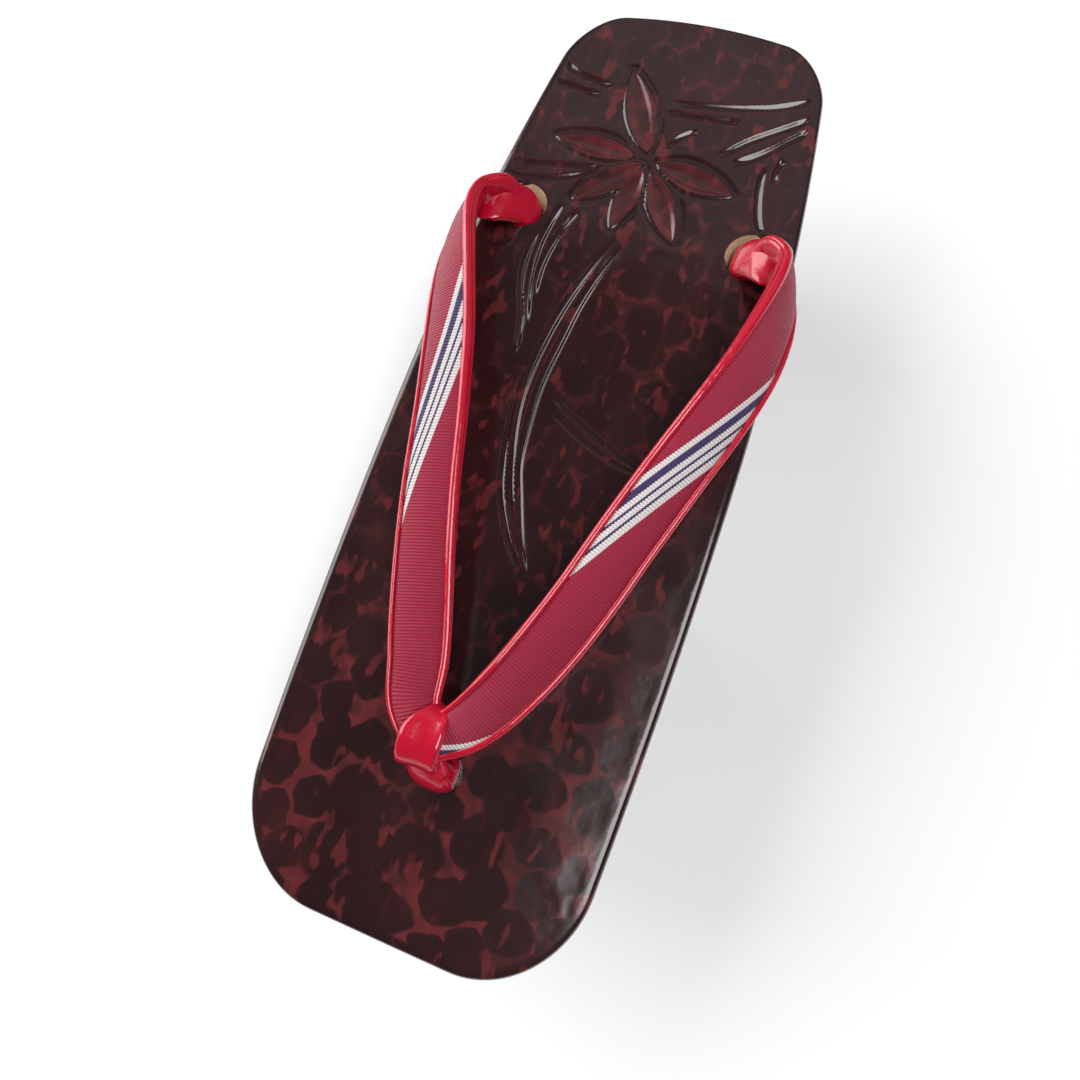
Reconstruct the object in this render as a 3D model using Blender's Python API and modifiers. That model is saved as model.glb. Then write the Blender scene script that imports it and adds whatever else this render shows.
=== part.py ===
"""A geta sandal: a two-tooth wooden sole cut from one block, with a padded V strap and a toe loop."""
import bmesh
import bpy
import math
import random
from mathutils import Matrix, Quaternion, Vector

# Metres. +X is the wearer's right, the toe points along -Y, +Z is up and the teeth stand on z = 0.

# The wooden sole, or dai
LENGTH = 0.235
WAIST_WIDTH = 0.0835
TOE_NARROWING = 0.0078
HEEL_NARROWING = 0.0183
TOE_BOW = 0.0002
HEEL_BOW = 0.0041
TOE_CORNER = 0.024
HEEL_CORNER = 0.0144
HEIGHT = 0.050
BOARD_THICKNESS = 0.012
EDGE_ROUND = 0.0016

# The two teeth, measured along the length
TOE_TO_FRONT_TOOTH = 0.0485
FRONT_TOOTH_LENGTH = 0.042
FRONT_TOOTH_RAKE = 0.010
HEEL_TO_REAR_TOOTH = 0.0315
REAR_TOOTH_LENGTH = 0.0355
TOOTH_FILLET = 0.004

# The holes that the strap passes through
TOE_TO_FRONT_HOLE = 0.0367
FRONT_HOLE_ASIDE = 0.0008
FRONT_HOLE_RADIUS = 0.0042
HEEL_TO_REAR_HOLES = 0.0637
REAR_HOLES_APART = 0.0586
REAR_HOLE_RADIUS = 0.0048
REAR_HOLE_MOUTH = 0.0062
MOUTH_DEPTH = 0.0035
REAR_HOLE_LEAN = 0.0104
REAR_HOLE_TOE_IN = 0.0030

# The carving in the top of the sole
GROOVE_WIDTH = 0.0017
GROOVE_DEPTH = 0.0006
DIMPLE_LENGTH = 0.0092
DIMPLE_WIDTH = 0.0080
DIMPLE_DEPTH = 0.0005
DIMPLE_PITCH = 0.0098
DIMPLED_LENGTH = 0.066

# The padded strap, or hanao
STRAP_WIDTH = 0.0135
STRAP_THICKNESS = 0.0052
STRAP_RISE = 0.008
TIP_RADIUS = 0.0033
SEAT_GAP = 0.0003

# The toe loop, or maetsubo, whose length is a share of the way from the front hole to a rear one
LOOP_WIDTH = 0.0088
LOOP_SHARE = 0.104
LOOP_HEIGHT = 0.0112
LOOP_EDGE = 0.0011
LOOP_ASIDE = 0.0034
LOOP_STEPS = 24
STEM_RADIUS = 0.0034

# The cords that hold the strap under the sole
CORD_RADIUS = 0.0011
KNOT_RADIUS = 0.0056
KNOT_RISE = 0.0021

# The strap's run from the front hole to a rear hole. along is the share of that distance, left and
# right are each arm's distance from the middle over half the holes' spacing, rise is the free height
# under the strap over STRAP_RISE, each tilt is how far that arm's outer edge leans down in degrees,
# and wide and thick are shares of the strap's own width and thickness.
STRAP_RUN = (
    # along, left, right, rise, left tilt, right tilt, wide, thick
    (0.037, 0.050, -0.120, 0.70, 0, 0, 0.58, 1.04),
    (0.060, 0.160, 0.030, 0.74, -2, 6, 0.70, 1.04),
    (0.097, 0.262, 0.190, 0.80, -5, 20, 0.84, 1.00),
    (0.156, 0.330, 0.345, 0.85, -4, 33, 0.95, 1.00),
    (0.230, 0.440, 0.495, 0.90, 2, 32, 1.00, 1.00),
    (0.319, 0.560, 0.640, 0.95, 9, 26, 1.00, 1.00),
    (0.422, 0.685, 0.780, 1.00, 15, 21, 1.00, 1.00),
    (0.541, 0.815, 0.950, 1.00, 21, 19, 1.00, 1.00),
    (0.659, 0.965, 1.125, 0.95, 27, 25, 1.00, 1.00),
    (0.748, 1.100, 1.235, 0.80, 35, 34, 0.98, 0.98),
    (0.822, 1.210, 1.290, 0.58, 45, 45, 0.95, 0.94),
    (0.881, 1.280, 1.310, 0.36, 56, 56, 0.90, 0.88),
    (0.926, 1.295, 1.300, 0.20, 66, 66, 0.84, 0.80),
    (0.962, 1.262, 1.262, 0.08, 74, 74, 0.76, 0.72),
)

# The hook that turns each arm into its hole. out and back are measured from the hole's mouth over the
# strap's width, up over its width too, and the tip's section is a share of the way to its round end.
STRAP_HOOK = (
    # out, back, up, roundness
    (0.300, -0.060, 0.340, 0.20),
    (0.130, -0.030, 0.130, 0.75),
)

# Half of the strap's cross-section: across is a share of its half width from the middle to the
# edge, and level a share of its half thickness. The ribbon's face ends at a piping that stands proud.
RIBBON_END = (0.78, 0.56)
STRAP_SECTION = (
    # across, level
    (0.00, 0.98),
    (0.45, 0.86),
    RIBBON_END,
    (0.83, 0.78),
    (0.93, 0.70),
    (1.00, 0.20),
    (0.92, -0.40),
    (0.55, -0.86),
    (0.00, -1.00),
)

# Carved petals round the lily's middle: heading in degrees from +X, length and width in metres.
LILY_PLACE = (-0.0028, 0.0740)
PETALS = (
    # heading, length, width
    (115, 0.0270, 0.0074),
    (178, 0.0240, 0.0058),
    (226, 0.0205, 0.0068),
    (260, 0.0205, 0.0056),
    (302, 0.0240, 0.0066),
    (347, 0.0230, 0.0066),
)
PETAL_START = 0.0024
PETAL_DEPTH = 0.0009

# Carved stems and leaf edges, each a curve through a few places on the sole's top.
STEMS = (
    ((-0.0030, 0.0520), (-0.0095, 0.0320), (-0.0122, 0.0100), (-0.0100, -0.0080), (0.0000, -0.0310)),
    ((0.0010, 0.0540), (-0.0055, 0.0340), (-0.0086, 0.0100), (-0.0068, -0.0090), (0.0050, -0.0390)),
    ((-0.0195, 0.0560), (-0.0225, 0.0420), (-0.0205, 0.0280), (-0.0170, 0.0130)),
    ((-0.0150, 0.0550), (-0.0188, 0.0420), (-0.0185, 0.0300)),
    ((-0.0050, 0.0070), (0.0070, 0.0000), (0.0200, -0.0050)),
    ((-0.0020, 0.0915), (0.0120, 0.0930), (0.0300, 0.0990)),
    ((-0.0030, 0.0885), (0.0080, 0.0890), (0.0180, 0.0900)),
    ((0.0130, 0.0780), (0.0220, 0.0860), (0.0330, 0.0945)),
    ((0.0170, 0.0770), (0.0250, 0.0830), (0.0345, 0.0915)),
    ((0.0255, 0.0790), (0.0265, 0.0700), (0.0300, 0.0625)),
    ((-0.0345, 0.0970), (-0.0270, 0.0948), (-0.0190, 0.0930)),
    ((-0.0350, 0.0910), (-0.0280, 0.0905), (-0.0200, 0.0895)),
    ((-0.0375, 0.0665), (-0.0260, 0.0675), (-0.0140, 0.0700)),
    ((-0.0370, 0.0625), (-0.0260, 0.0635), (-0.0170, 0.0665)),
)

# Worked out from the sizes above
TOP = HEIGHT
UNDERSIDE = HEIGHT - BOARD_THICKNESS
TOE_Y = -LENGTH / 2
HEEL_Y = LENGTH / 2
FRONT_HOLE = Vector((FRONT_HOLE_ASIDE, TOE_Y + TOE_TO_FRONT_HOLE, TOP))
REAR_HOLE = Vector((REAR_HOLES_APART / 2, HEEL_Y - HEEL_TO_REAR_HOLES, TOP))
LOOP_LENGTH = LOOP_SHARE * (REAR_HOLE.y - FRONT_HOLE.y)


def clear_scene():
    for item in list(bpy.data.objects):
        bpy.data.objects.remove(item, do_unlink=True)


def new_collection(name):
    made = bpy.data.collections.new(name)
    bpy.context.scene.collection.children.link(made)
    return made


def material(name, colour, roughness, metallic=0.0, coat=0.0):
    made = bpy.data.materials.new(name)
    made.use_nodes = True
    shader = made.node_tree.nodes["Principled BSDF"]
    shader.inputs["Base Color"].default_value = (*colour, 1.0)
    shader.inputs["Roughness"].default_value = roughness
    shader.inputs["Metallic"].default_value = metallic
    shader.inputs["Coat Weight"].default_value = coat
    return made


def object_from_bmesh(name, bm, collection, finish=None):
    bmesh.ops.recalc_face_normals(bm, faces=bm.faces)
    mesh = bpy.data.meshes.new(name)
    bm.to_mesh(mesh)
    bm.free()
    made = bpy.data.objects.new(name, mesh)
    collection.objects.link(made)
    if finish:
        mesh.materials.append(finish)
    return made


def as_tool(item):
    item.hide_render = True
    item.display_type = "WIRE"
    return item


def cut(item, tool, operation="DIFFERENCE"):
    modifier = item.modifiers.new(operation.title(), "BOOLEAN")
    modifier.operation = operation
    modifier.solver = "EXACT"
    modifier.object = tool


def smooth_shading(item, angle=40):
    item.data.shade_smooth()
    item.data.set_sharp_from_angle(angle=math.radians(angle))


def mesh_from_curve(item, collection):
    """The curve's evaluated form as a mesh object with welded caps; the curve itself goes."""
    graph = bpy.context.evaluated_depsgraph_get()
    mesh = bpy.data.meshes.new_from_object(item.evaluated_get(graph))
    bm = bmesh.new()
    bm.from_mesh(mesh)
    bmesh.ops.remove_doubles(bm, verts=bm.verts, dist=0.00001)
    bmesh.ops.recalc_face_normals(bm, faces=bm.faces)
    bm.to_mesh(mesh)
    bm.free()
    made = bpy.data.objects.new(item.name + "_mesh", mesh)
    made.matrix_world = item.matrix_world
    collection.objects.link(made)
    name = item.name
    bpy.data.objects.remove(item, do_unlink=True)
    made.name = name
    return made


def flat_curve(name, points, depth, collection):
    """A closed outline in the XY plane, filled and extruded to the full depth about its plane."""
    data = bpy.data.curves.new(name, "CURVE")
    data.dimensions = "2D"
    data.fill_mode = "BOTH"
    data.extrude = depth / 2
    spline = data.splines.new("POLY")
    spline.points.add(len(points) - 1)
    for place, (x, y) in zip(spline.points, points):
        place.co = (x, y, 0.0, 1.0)
    spline.use_cyclic_u = True
    made = bpy.data.objects.new(name, data)
    collection.objects.link(made)
    return made


def tube(name, points, radius, collection, cyclic=False):
    data = bpy.data.curves.new(name, "CURVE")
    data.dimensions = "3D"
    data.bevel_depth = radius
    data.bevel_resolution = 1
    data.use_fill_caps = not cyclic
    spline = data.splines.new("POLY")
    spline.points.add(len(points) - 1)
    for place, point in zip(spline.points, points):
        place.co = (*point, 1.0)
    spline.use_cyclic_u = cyclic
    made = bpy.data.objects.new(name, data)
    collection.objects.link(made)
    bpy.context.view_layer.update()
    return mesh_from_curve(made, collection)


def through(rows, steps):
    """Points on a smooth curve through the rows, which may have any number of columns."""
    ends = (rows[0], *rows, rows[-1])
    made = []
    for a, b, c, d in zip(ends, ends[1:], ends[2:], ends[3:]):
        for step in range(steps):
            t = step / steps
            made.append(tuple(
                0.5 * (2 * q + (r - p) * t + (2 * p - 5 * q + 4 * r - s) * t * t
                       + (3 * q - p - 3 * r + s) * t ** 3)
                for p, q, r, s in zip(a, b, c, d)))
    made.append(tuple(rows[-1]))
    return made


def sole_outline(corner_steps=7, side_steps=7, end_steps=4):
    """A rounded rectangle drawn in towards both ends and bowed at the heel."""
    half_length = LENGTH / 2
    half_width = WAIST_WIDTH / 2
    corners = (
        # centre x, centre y, radius, first angle
        (half_width - HEEL_CORNER, half_length - HEEL_CORNER, HEEL_CORNER, 0),
        (HEEL_CORNER - half_width, half_length - HEEL_CORNER, HEEL_CORNER, 90),
        (TOE_CORNER - half_width, TOE_CORNER - half_length, TOE_CORNER, 180),
        (half_width - TOE_CORNER, TOE_CORNER - half_length, TOE_CORNER, 270),
    )
    plain = []
    for index, (x, y, radius, start) in enumerate(corners):
        for step in range(corner_steps + 1):
            angle = math.radians(start + 90 * step / corner_steps)
            plain.append((x + radius * math.cos(angle), y + radius * math.sin(angle)))
        steps = end_steps if index % 2 == 0 else side_steps
        following = corners[(index + 1) % 4]
        turn = math.radians(following[3])
        last = plain[-1]
        nearest = (following[0] + following[2] * math.cos(turn), following[1] + following[2] * math.sin(turn))
        for step in range(1, steps):
            share = step / steps
            plain.append((last[0] + (nearest[0] - last[0]) * share, last[1] + (nearest[1] - last[1]) * share))
    outline = []
    for x, y in plain:
        share = y / half_length
        across = x / half_width
        narrowing = HEEL_NARROWING if y > 0 else TOE_NARROWING
        bow = HEEL_BOW if y > 0 else -TOE_BOW
        outline.append((x * (1 - narrowing / WAIST_WIDTH * share ** 2), y - bow * across ** 2 * abs(share)))
    return outline


def fillet(corner, before, after, radius, steps=3):
    """Points on the arc that rounds a corner between two neighbours."""
    corner = Vector(corner)
    back = (Vector(before) - corner).normalized()
    on = (Vector(after) - corner).normalized()
    half = back.angle(on) / 2
    reach = radius / math.tan(half)
    centre = corner + (back + on).normalized() * radius / math.sin(half)
    first = corner + back * reach - centre
    last = corner + on * reach - centre
    return [tuple(centre + first.slerp(last, step / steps).normalized() * radius) for step in range(steps + 1)]


def side_profile():
    """The sole seen from the side: y along the length, z up, with both teeth."""
    front = TOE_Y + TOE_TO_FRONT_TOOTH
    front_back = front + FRONT_TOOTH_LENGTH
    rear_back = HEEL_Y - HEEL_TO_REAR_TOOTH
    rear = rear_back - REAR_TOOTH_LENGTH
    beyond = LENGTH
    above = HEIGHT + BOARD_THICKNESS
    corners = (
        # y, z, fillet
        (-beyond, above, 0.0),
        (-beyond, UNDERSIDE, 0.0),
        (front, UNDERSIDE, TOOTH_FILLET),
        (front + FRONT_TOOTH_RAKE, 0.0, EDGE_ROUND),
        (front_back, 0.0, EDGE_ROUND),
        (front_back, UNDERSIDE, TOOTH_FILLET),
        (rear, UNDERSIDE, TOOTH_FILLET / 4),
        (rear, 0.0, EDGE_ROUND),
        (rear_back, 0.0, EDGE_ROUND),
        (rear_back, UNDERSIDE, TOOTH_FILLET),
        (beyond, UNDERSIDE, 0.0),
        (beyond, above, 0.0),
    )
    points = []
    for index, (y, z, radius) in enumerate(corners):
        if radius:
            points += fillet((y, z), corners[index - 1][:2], corners[(index + 1) % len(corners)][:2], radius)
        else:
            points.append((y, z))
    return points


def rear_hole_axis(side):
    mouth = Vector((side * REAR_HOLE.x, REAR_HOLE.y, TOP))
    exit_point = mouth + Vector((-side * REAR_HOLE_TOE_IN, -REAR_HOLE_LEAN, -BOARD_THICKNESS))
    return mouth, exit_point


def cone_between(name, start, end, start_radius, end_radius, collection, segments=20):
    bm = bmesh.new()
    bmesh.ops.create_cone(bm, cap_ends=True, segments=segments, radius1=start_radius,
                          radius2=end_radius, depth=(end - start).length)
    turn = Vector((0, 0, 1)).rotation_difference(end - start).to_matrix().to_4x4()
    bmesh.ops.transform(bm, matrix=Matrix.Translation((start + end) / 2) @ turn, verts=bm.verts)
    return as_tool(object_from_bmesh(name, bm, collection))


def hollow_tool(name, place, length, width, depth, heading, collection):
    """A shallow oval hollow, as one push of a round gouge leaves it."""
    bm = bmesh.new()
    bmesh.ops.create_uvsphere(bm, u_segments=10, v_segments=6, radius=1.0)
    shape = Matrix.Diagonal((length / 2, width / 2, depth, 1))
    turn = Matrix.Rotation(heading, 4, "Z")
    bmesh.ops.transform(bm, matrix=Matrix.Translation((*place, TOP)) @ turn @ shape, verts=bm.verts)
    return as_tool(object_from_bmesh(name, bm, collection))


def petal_tool(name, heading, length, width, collection):
    """A petal is one long hollow that starts a little way out from the middle of the flower."""
    turn = math.radians(heading)
    reach = (PETAL_START + length) / 2
    place = (LILY_PLACE[0] + reach * math.cos(turn), LILY_PLACE[1] + reach * math.sin(turn))
    return hollow_tool(name, place, length - PETAL_START, width, PETAL_DEPTH, turn, collection)


def groove_tool(name, points, collection):
    """A flattened tube along a carved line, sunk so that it cuts to the groove's depth."""
    made = tube(name, [(x, y, 0.0) for x, y in points], GROOVE_WIDTH / 2, collection)
    squash = GROOVE_DEPTH / (GROOVE_WIDTH / 2)
    made.data.transform(Matrix.Translation((0, 0, TOP)) @ Matrix.Diagonal((1, 1, squash, 1)))
    return as_tool(made)


def dimple_tools(collection):
    """Oval gouge marks in staggered rows over the toe, each one turned and moved a little."""
    marks = random.Random(7)
    half_width = WAIST_WIDTH / 2 - DIMPLE_WIDTH
    rows = int(DIMPLED_LENGTH / DIMPLE_PITCH)
    made = []
    for row in range(rows):
        y = TOE_Y + DIMPLE_PITCH * (row + 0.75)
        columns = int(2 * half_width / DIMPLE_PITCH) + row % 2
        for column in range(columns):
            x = (column - (columns - 1) / 2) * DIMPLE_PITCH
            clear = math.hypot(x - FRONT_HOLE.x, y - FRONT_HOLE.y) > FRONT_HOLE_RADIUS + DIMPLE_LENGTH / 2
            inside = abs(x) < half_width and (row > 0 or abs(x) < half_width - DIMPLE_WIDTH)
            if not (clear and inside):
                continue
            size = marks.uniform(0.86, 1.0)
            heading = math.pi / 2 + marks.uniform(-0.4, 0.4)
            made.append(hollow_tool(f"dimple_{row}_{column}", (x, y), DIMPLE_LENGTH * size,
                                    DIMPLE_WIDTH * size, DIMPLE_DEPTH, heading, collection))
    return made


def join_tools(name, items, collection):
    """Tools that don't touch each other, as one mesh."""
    bm = bmesh.new()
    for item in items:
        bm.from_mesh(item.data)
        bpy.data.objects.remove(item, do_unlink=True)
    return as_tool(object_from_bmesh(name, bm, collection))


def make_dai(parts, tools):
    """The block is sawn to its outline, then to its side profile, then bored and carved."""
    wood = material("lacquered_wood", (0.035, 0.012, 0.012), 0.16, coat=1.0)
    block = HEIGHT + BOARD_THICKNESS
    flat = flat_curve("dai", sole_outline(), block, parts)
    flat.location.z = TOP - block / 2
    bpy.context.view_layer.update()
    dai = mesh_from_curve(flat, parts)
    dai.data.materials.append(wood)
    rim = dai.modifiers.new("Rim", "BEVEL")
    rim.width = EDGE_ROUND
    rim.segments = 3
    rim.limit_method = "ANGLE"
    rim.angle_limit = math.radians(60)
    side = flat_curve("side_profile", side_profile(), WAIST_WIDTH * 2, tools)
    side.matrix_world = Matrix(((0, 0, 1, 0), (1, 0, 0, 0), (0, 1, 0, 0), (0, 0, 0, 1)))
    bpy.context.view_layer.update()
    cut(dai, as_tool(mesh_from_curve(side, tools)), "INTERSECT")
    for side_name, sign in (("left", -1), ("right", 1)):
        mouth, exit_point = rear_hole_axis(sign)
        axis = (exit_point - mouth).normalized()
        start = mouth - axis * BOARD_THICKNESS / 2
        end = exit_point + axis * BOARD_THICKNESS / 2
        cut(dai, cone_between(f"rear_hole_{side_name}", start, end, REAR_HOLE_RADIUS, REAR_HOLE_RADIUS, tools))
        low = mouth - Vector((0, 0, MOUTH_DEPTH))
        high = mouth + Vector((0, 0, MOUTH_DEPTH))
        wider = 2 * REAR_HOLE_MOUTH - REAR_HOLE_RADIUS
        cut(dai, cone_between(f"rear_mouth_{side_name}", low, high, REAR_HOLE_RADIUS, wider, tools))
    down = FRONT_HOLE - Vector((0, 0, BOARD_THICKNESS * 1.5))
    up = FRONT_HOLE + Vector((0, 0, BOARD_THICKNESS / 2))
    cut(dai, cone_between("front_hole", down, up, FRONT_HOLE_RADIUS, FRONT_HOLE_RADIUS, tools))
    cut(dai, join_tools("dimples", dimple_tools(tools), tools))
    for index, petal in enumerate(PETALS):
        cut(dai, petal_tool(f"petal_{index}", *petal, tools))
    for index, stem in enumerate(STEMS):
        cut(dai, groove_tool(f"stem_{index}", through(stem, 3), tools))
    return dai


def strap_rows(side):
    """The arm's centre line and section, from its front end to the end of its tip in the hole."""
    rows = []
    reach = REAR_HOLE.y - FRONT_HOLE.y
    for along, left, right, rise, left_tilt, right_tilt, wide, thick in STRAP_RUN:
        out, tilt = (left, left_tilt) if side < 0 else (right, right_tilt)
        half_width = wide * STRAP_WIDTH / 2
        half_thick = thick * STRAP_THICKNESS / 2
        lean = math.radians(tilt)
        low = half_width * math.sin(abs(lean)) + half_thick * math.cos(lean)
        rows.append((side * out * REAR_HOLE.x, FRONT_HOLE.y + along * reach,
                     TOP + SEAT_GAP + low + rise * STRAP_RISE, tilt, half_width, half_thick))
    mouth, exit_point = rear_hole_axis(side)
    last_width, last_thick, last_tilt = rows[-1][4], rows[-1][5], rows[-1][3]
    slack = REAR_HOLE_RADIUS - TIP_RADIUS
    aside = Vector((side * slack * 0.45, -slack * 0.45, 0))
    for out, back, up, roundness in STRAP_HOOK:
        place = mouth + aside + Vector((side * out, back, up)) * STRAP_WIDTH
        rows.append((*place, last_tilt, last_width + (TIP_RADIUS - last_width) * roundness,
                     last_thick + (TIP_RADIUS - last_thick) * roundness))
    for share in (0.22, 0.62, 1.0):
        place = mouth.lerp(exit_point, share) + aside
        rows.append((*place, last_tilt, TIP_RADIUS, TIP_RADIUS))
    return rows


def arm_mesh(name, side, collection, grow=0.0, steps=2):
    """One arm of the strap as a loft of its section along a smooth centre line.

    A grown arm is the room that the strap needs, so it leaves out the dip beside the piping.
    """
    stations = through(strap_rows(side), steps)
    middles = [Vector(station[:3]) for station in stations]
    half = list(STRAP_SECTION)
    if grow:
        half.remove(RIBBON_END)
    ring = half + [(-across, level) for across, level in reversed(half[1:-1])]
    bm = bmesh.new()
    loops = []
    heading = (middles[1] - middles[0]).normalized()
    middles[0] = middles[0] - heading * grow
    outward = Vector((side * abs(heading.y), -side * heading.x * math.copysign(1, heading.y), 0)).normalized()
    for index, (middle, station) in enumerate(zip(middles, stations)):
        ahead = middles[min(index + 1, len(middles) - 1)] - middles[max(index - 1, 0)]
        ahead.normalize()
        outward = (heading.rotation_difference(ahead) @ outward).normalized()
        heading = ahead
        roll = Quaternion(heading, side * math.radians(station[3]))
        across_axis = roll @ outward
        up_axis = across_axis.cross(heading) * side
        roundness = max(0.0, min(1.0, (index - len(stations) + 1 + 5 * steps) / (3 * steps)))
        loop = []
        for number, (across, level) in enumerate(ring):
            angle = math.pi / 2 - 2 * math.pi * number / len(ring)
            u = across + (math.cos(angle) - across) * roundness
            v = level + (math.sin(angle) - level) * roundness
            width = station[4] + grow
            thick = station[5] + grow
            loop.append(bm.verts.new(middle + across_axis * u * width + up_axis * v * thick))
        loops.append(loop)
    for one, two in zip(loops, loops[1:]):
        for number in range(len(ring)):
            following = (number + 1) % len(ring)
            bm.faces.new((one[number], one[following], two[following]))
            bm.faces.new((one[number], two[following], two[number]))
    bm.faces.new(loops[0])
    bm.faces.new(loops[-1])
    return object_from_bmesh(name, bm, collection)


def make_hanao(parts, tools):
    """Both arms of the strap, joined under the toe loop."""
    finish = material("crimson_ribbon", (0.33, 0.012, 0.045), 0.6)
    hanao = arm_mesh("hanao", -1, parts)
    hanao.data.materials.append(finish)
    cut(hanao, as_tool(arm_mesh("right_arm", 1, tools)), "UNION")
    smooth_shading(hanao)
    return hanao


def make_maetsubo(parts, tools):
    """A band round the place where the arms meet, and the stem that holds it down in the front hole."""
    finish = material("red_vinyl", (0.60, 0.004, 0.025), 0.2, coat=0.6)
    nose_height = strap_rows(-1)[1][2]
    middle = Vector((FRONT_HOLE.x - LOOP_ASIDE, FRONT_HOLE.y + LOOP_LENGTH / 2, nose_height))
    outline = []
    for step in range(LOOP_STEPS):
        turn = 2 * math.pi * step / LOOP_STEPS
        outline.append((LOOP_LENGTH / 2 * math.cos(turn), LOOP_HEIGHT / 2 * math.sin(turn)))
    flat = flat_curve("maetsubo", outline, LOOP_WIDTH, parts)
    flat.matrix_world = Matrix.Translation(middle) @ Matrix(
        ((0, 0, 1, 0), (1, 0, 0, 0), (0, 1, 0, 0), (0, 0, 0, 1)))
    bpy.context.view_layer.update()
    maetsubo = mesh_from_curve(flat, parts)
    maetsubo.data.materials.append(finish)
    edge = maetsubo.modifiers.new("Edge", "BEVEL")
    edge.width = LOOP_EDGE
    edge.segments = 2
    edge.limit_method = "ANGLE"
    edge.angle_limit = math.radians(60)
    seat = FRONT_HOLE + Vector((0, (FRONT_HOLE_RADIUS - STEM_RADIUS) * 0.4, 0))
    stem_top = seat + Vector((-LOOP_ASIDE / 2, LOOP_LENGTH * 0.2, nose_height - LOOP_HEIGHT * 0.43 - TOP))
    foot = seat - Vector((0, 0, BOARD_THICKNESS))
    stem = cone_between("stem", foot, seat + Vector((0, 0, SEAT_GAP)), STEM_RADIUS, STEM_RADIUS, tools, 12)
    neck = cone_between("stem_neck", seat, stem_top, STEM_RADIUS * 0.75, STEM_RADIUS * 0.8, tools, 12)
    for arm, side in (("left", -1), ("right", 1)):
        cut(maetsubo, as_tool(arm_mesh(f"{arm}_arm_clearance", side, tools, grow=SEAT_GAP)))
    cut(maetsubo, neck, "UNION")
    cut(maetsubo, stem, "UNION")
    smooth_shading(maetsubo)
    return maetsubo


def facet(item):
    """Three-sided faces, so that the bent tube's surface has only one reading."""
    bm = bmesh.new()
    bm.from_mesh(item.data)
    bmesh.ops.triangulate(bm, faces=bm.faces)
    bm.to_mesh(item.data)
    bm.free()


def knot_points(middle, size, height, steps=30):
    """A trefoil, which is the closed form of an overhand knot."""
    points = []
    for step in range(steps):
        t = 2 * math.pi * step / steps
        x = (math.sin(t) + 2 * math.sin(2 * t)) / 3
        y = (math.cos(t) - 2 * math.cos(2 * t)) / 3
        points.append(middle + Vector((x * size, y * size, -math.sin(3 * t) * height)))
    return points


def make_cords(parts):
    """The strap's cords under the sole: a knot at the front, and the rear ends tied to each other."""
    finish = material("cotton_cord", (0.62, 0.55, 0.42), 0.9)
    seat = Vector((FRONT_HOLE.x, FRONT_HOLE.y, UNDERSIDE - SEAT_GAP - CORD_RADIUS - KNOT_RISE))
    front = tube("front_knot", knot_points(seat, KNOT_RADIUS, KNOT_RISE), CORD_RADIUS, parts, cyclic=True)
    facet(front)
    front.data.materials.append(finish)
    smooth_shading(front)
    exit_point = rear_hole_axis(1)[1]
    drop = CORD_RADIUS + KNOT_RISE
    level = UNDERSIDE - SEAT_GAP - drop
    ahead = exit_point.y - CORD_RADIUS
    lobe = KNOT_RADIUS / 2
    middle = Vector((0.0, ahead - drop - lobe, level))
    rear = tube("rear_knot", knot_points(middle, KNOT_RADIUS, KNOT_RISE), CORD_RADIUS, parts, cyclic=True)
    facet(rear)
    rear.data.materials.append(finish)
    smooth_shading(rear)
    end = KNOT_RADIUS * 0.9 + CORD_RADIUS + SEAT_GAP
    for name, side in (("left", -1), ("right", 1)):
        route = through((
            (side * exit_point.x, ahead, UNDERSIDE - SEAT_GAP - CORD_RADIUS),
            (side * (exit_point.x * 0.8 + end * 0.2), ahead - drop * 0.8, level + KNOT_RISE * 0.4),
            (side * (exit_point.x * 0.4 + end * 0.6), ahead - drop, level),
            (side * end, ahead - drop, level),
        ), 3)
        cord = tube(f"rear_cord_{name}", route, CORD_RADIUS, parts)
        cord.data.materials.append(finish)
        smooth_shading(cord)


def build():
    clear_scene()
    parts = new_collection("geta")
    tools = new_collection("tools")
    make_dai(parts, tools)
    make_hanao(parts, tools)
    make_maetsubo(parts, tools)
    make_cords(parts)
    bpy.context.view_layer.update()


build()
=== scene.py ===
import math
import random

import bmesh
import bpy
import numpy as np
from mathutils import Matrix, Quaternion, Vector, geometry


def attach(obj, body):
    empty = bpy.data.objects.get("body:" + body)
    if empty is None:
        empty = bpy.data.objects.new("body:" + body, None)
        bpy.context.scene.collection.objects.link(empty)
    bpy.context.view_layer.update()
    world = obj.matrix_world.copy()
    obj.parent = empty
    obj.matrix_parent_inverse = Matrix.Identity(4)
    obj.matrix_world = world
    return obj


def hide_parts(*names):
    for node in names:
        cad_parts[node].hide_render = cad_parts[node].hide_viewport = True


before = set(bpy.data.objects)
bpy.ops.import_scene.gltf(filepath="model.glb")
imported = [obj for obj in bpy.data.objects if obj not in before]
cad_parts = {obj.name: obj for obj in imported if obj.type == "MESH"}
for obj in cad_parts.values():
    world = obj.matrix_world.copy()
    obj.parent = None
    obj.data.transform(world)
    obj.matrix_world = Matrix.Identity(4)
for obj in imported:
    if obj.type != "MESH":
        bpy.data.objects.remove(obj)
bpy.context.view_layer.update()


# The studio: a plain pale floor, soft light panels, and the camera close above the strap.
# The panels are cloth over lamps. One hangs over the toe's right side, where the lacquer shines.
FLOOR_WIDTH = 8.0
FLOOR_COLOUR = (0.86, 0.86, 0.87, 1.0)
FLOOR_TINT = (0.88, 0.88, 0.88, 1.0)
FLOOR_MOTTLE = 3.0
LENS_MM = 21.67
SENSOR_MM = 36.0
CAMERA_NEAR = 0.01
CAMERA_PLACE = (0.0289, -0.0502, 0.1932)
CAMERA_RIGHT = (0.9367, 0.3331, -0.1082)
CAMERA_UP = (-0.3071, 0.9297, 0.2033)
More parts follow.
